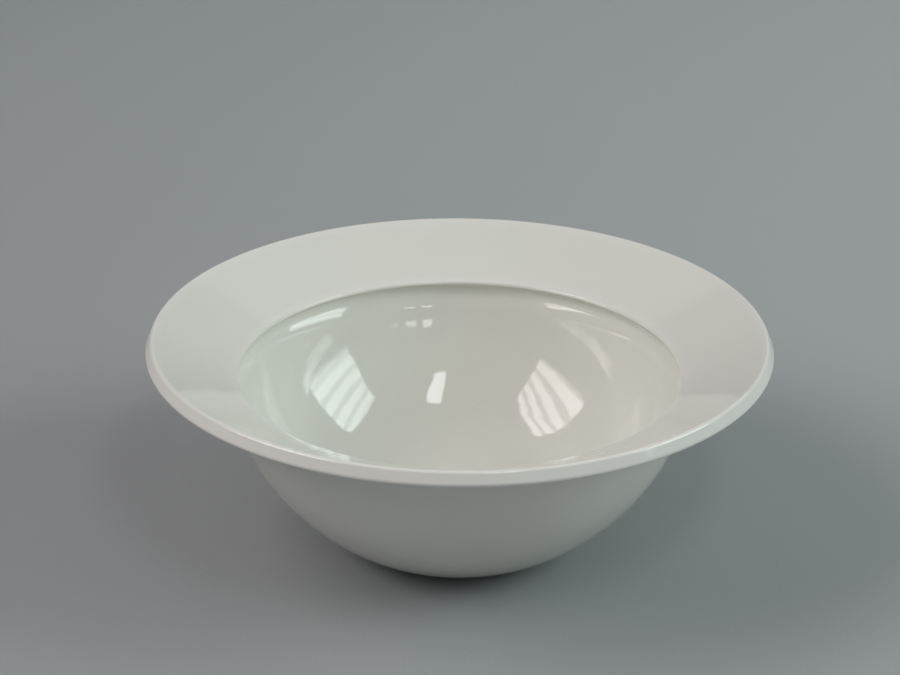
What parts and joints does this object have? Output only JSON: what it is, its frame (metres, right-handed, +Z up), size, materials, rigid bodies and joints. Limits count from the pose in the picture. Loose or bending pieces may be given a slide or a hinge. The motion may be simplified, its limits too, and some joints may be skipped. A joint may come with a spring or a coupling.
{
  "type": "wide-rimmed serving dish",
  "caption": "Round glazed porcelain dish: a spherical well that flares into a cove under a small inner lip, and a broad rim that rises outward, on a low bare standing ring.",
  "frame": {"origin": "centre of the standing ring, on the plane that the dish stands on", "axes": "+Z up along the dish's axis of revolution; X and Y level, and alike because the dish is round"},
  "size_m": [0.24, 0.24, 0.086],
  "materials": {
    "bare_clay": "matt fired porcelain, faintly sandy, seen only on the standing ring",
    "glaze": "glossy, pale greenish-white glaze, a little thinner and warmer on the edges and pooled in the cove under the lip"
  },
  "bodies": {
    "root": {"well_wall": "bare_clay", "rim_flange": "bare_clay", "foot_ring": "bare_clay", "glaze_coat": "glaze", "recess_glaze": "glaze"}
  },
  "joints": []
}
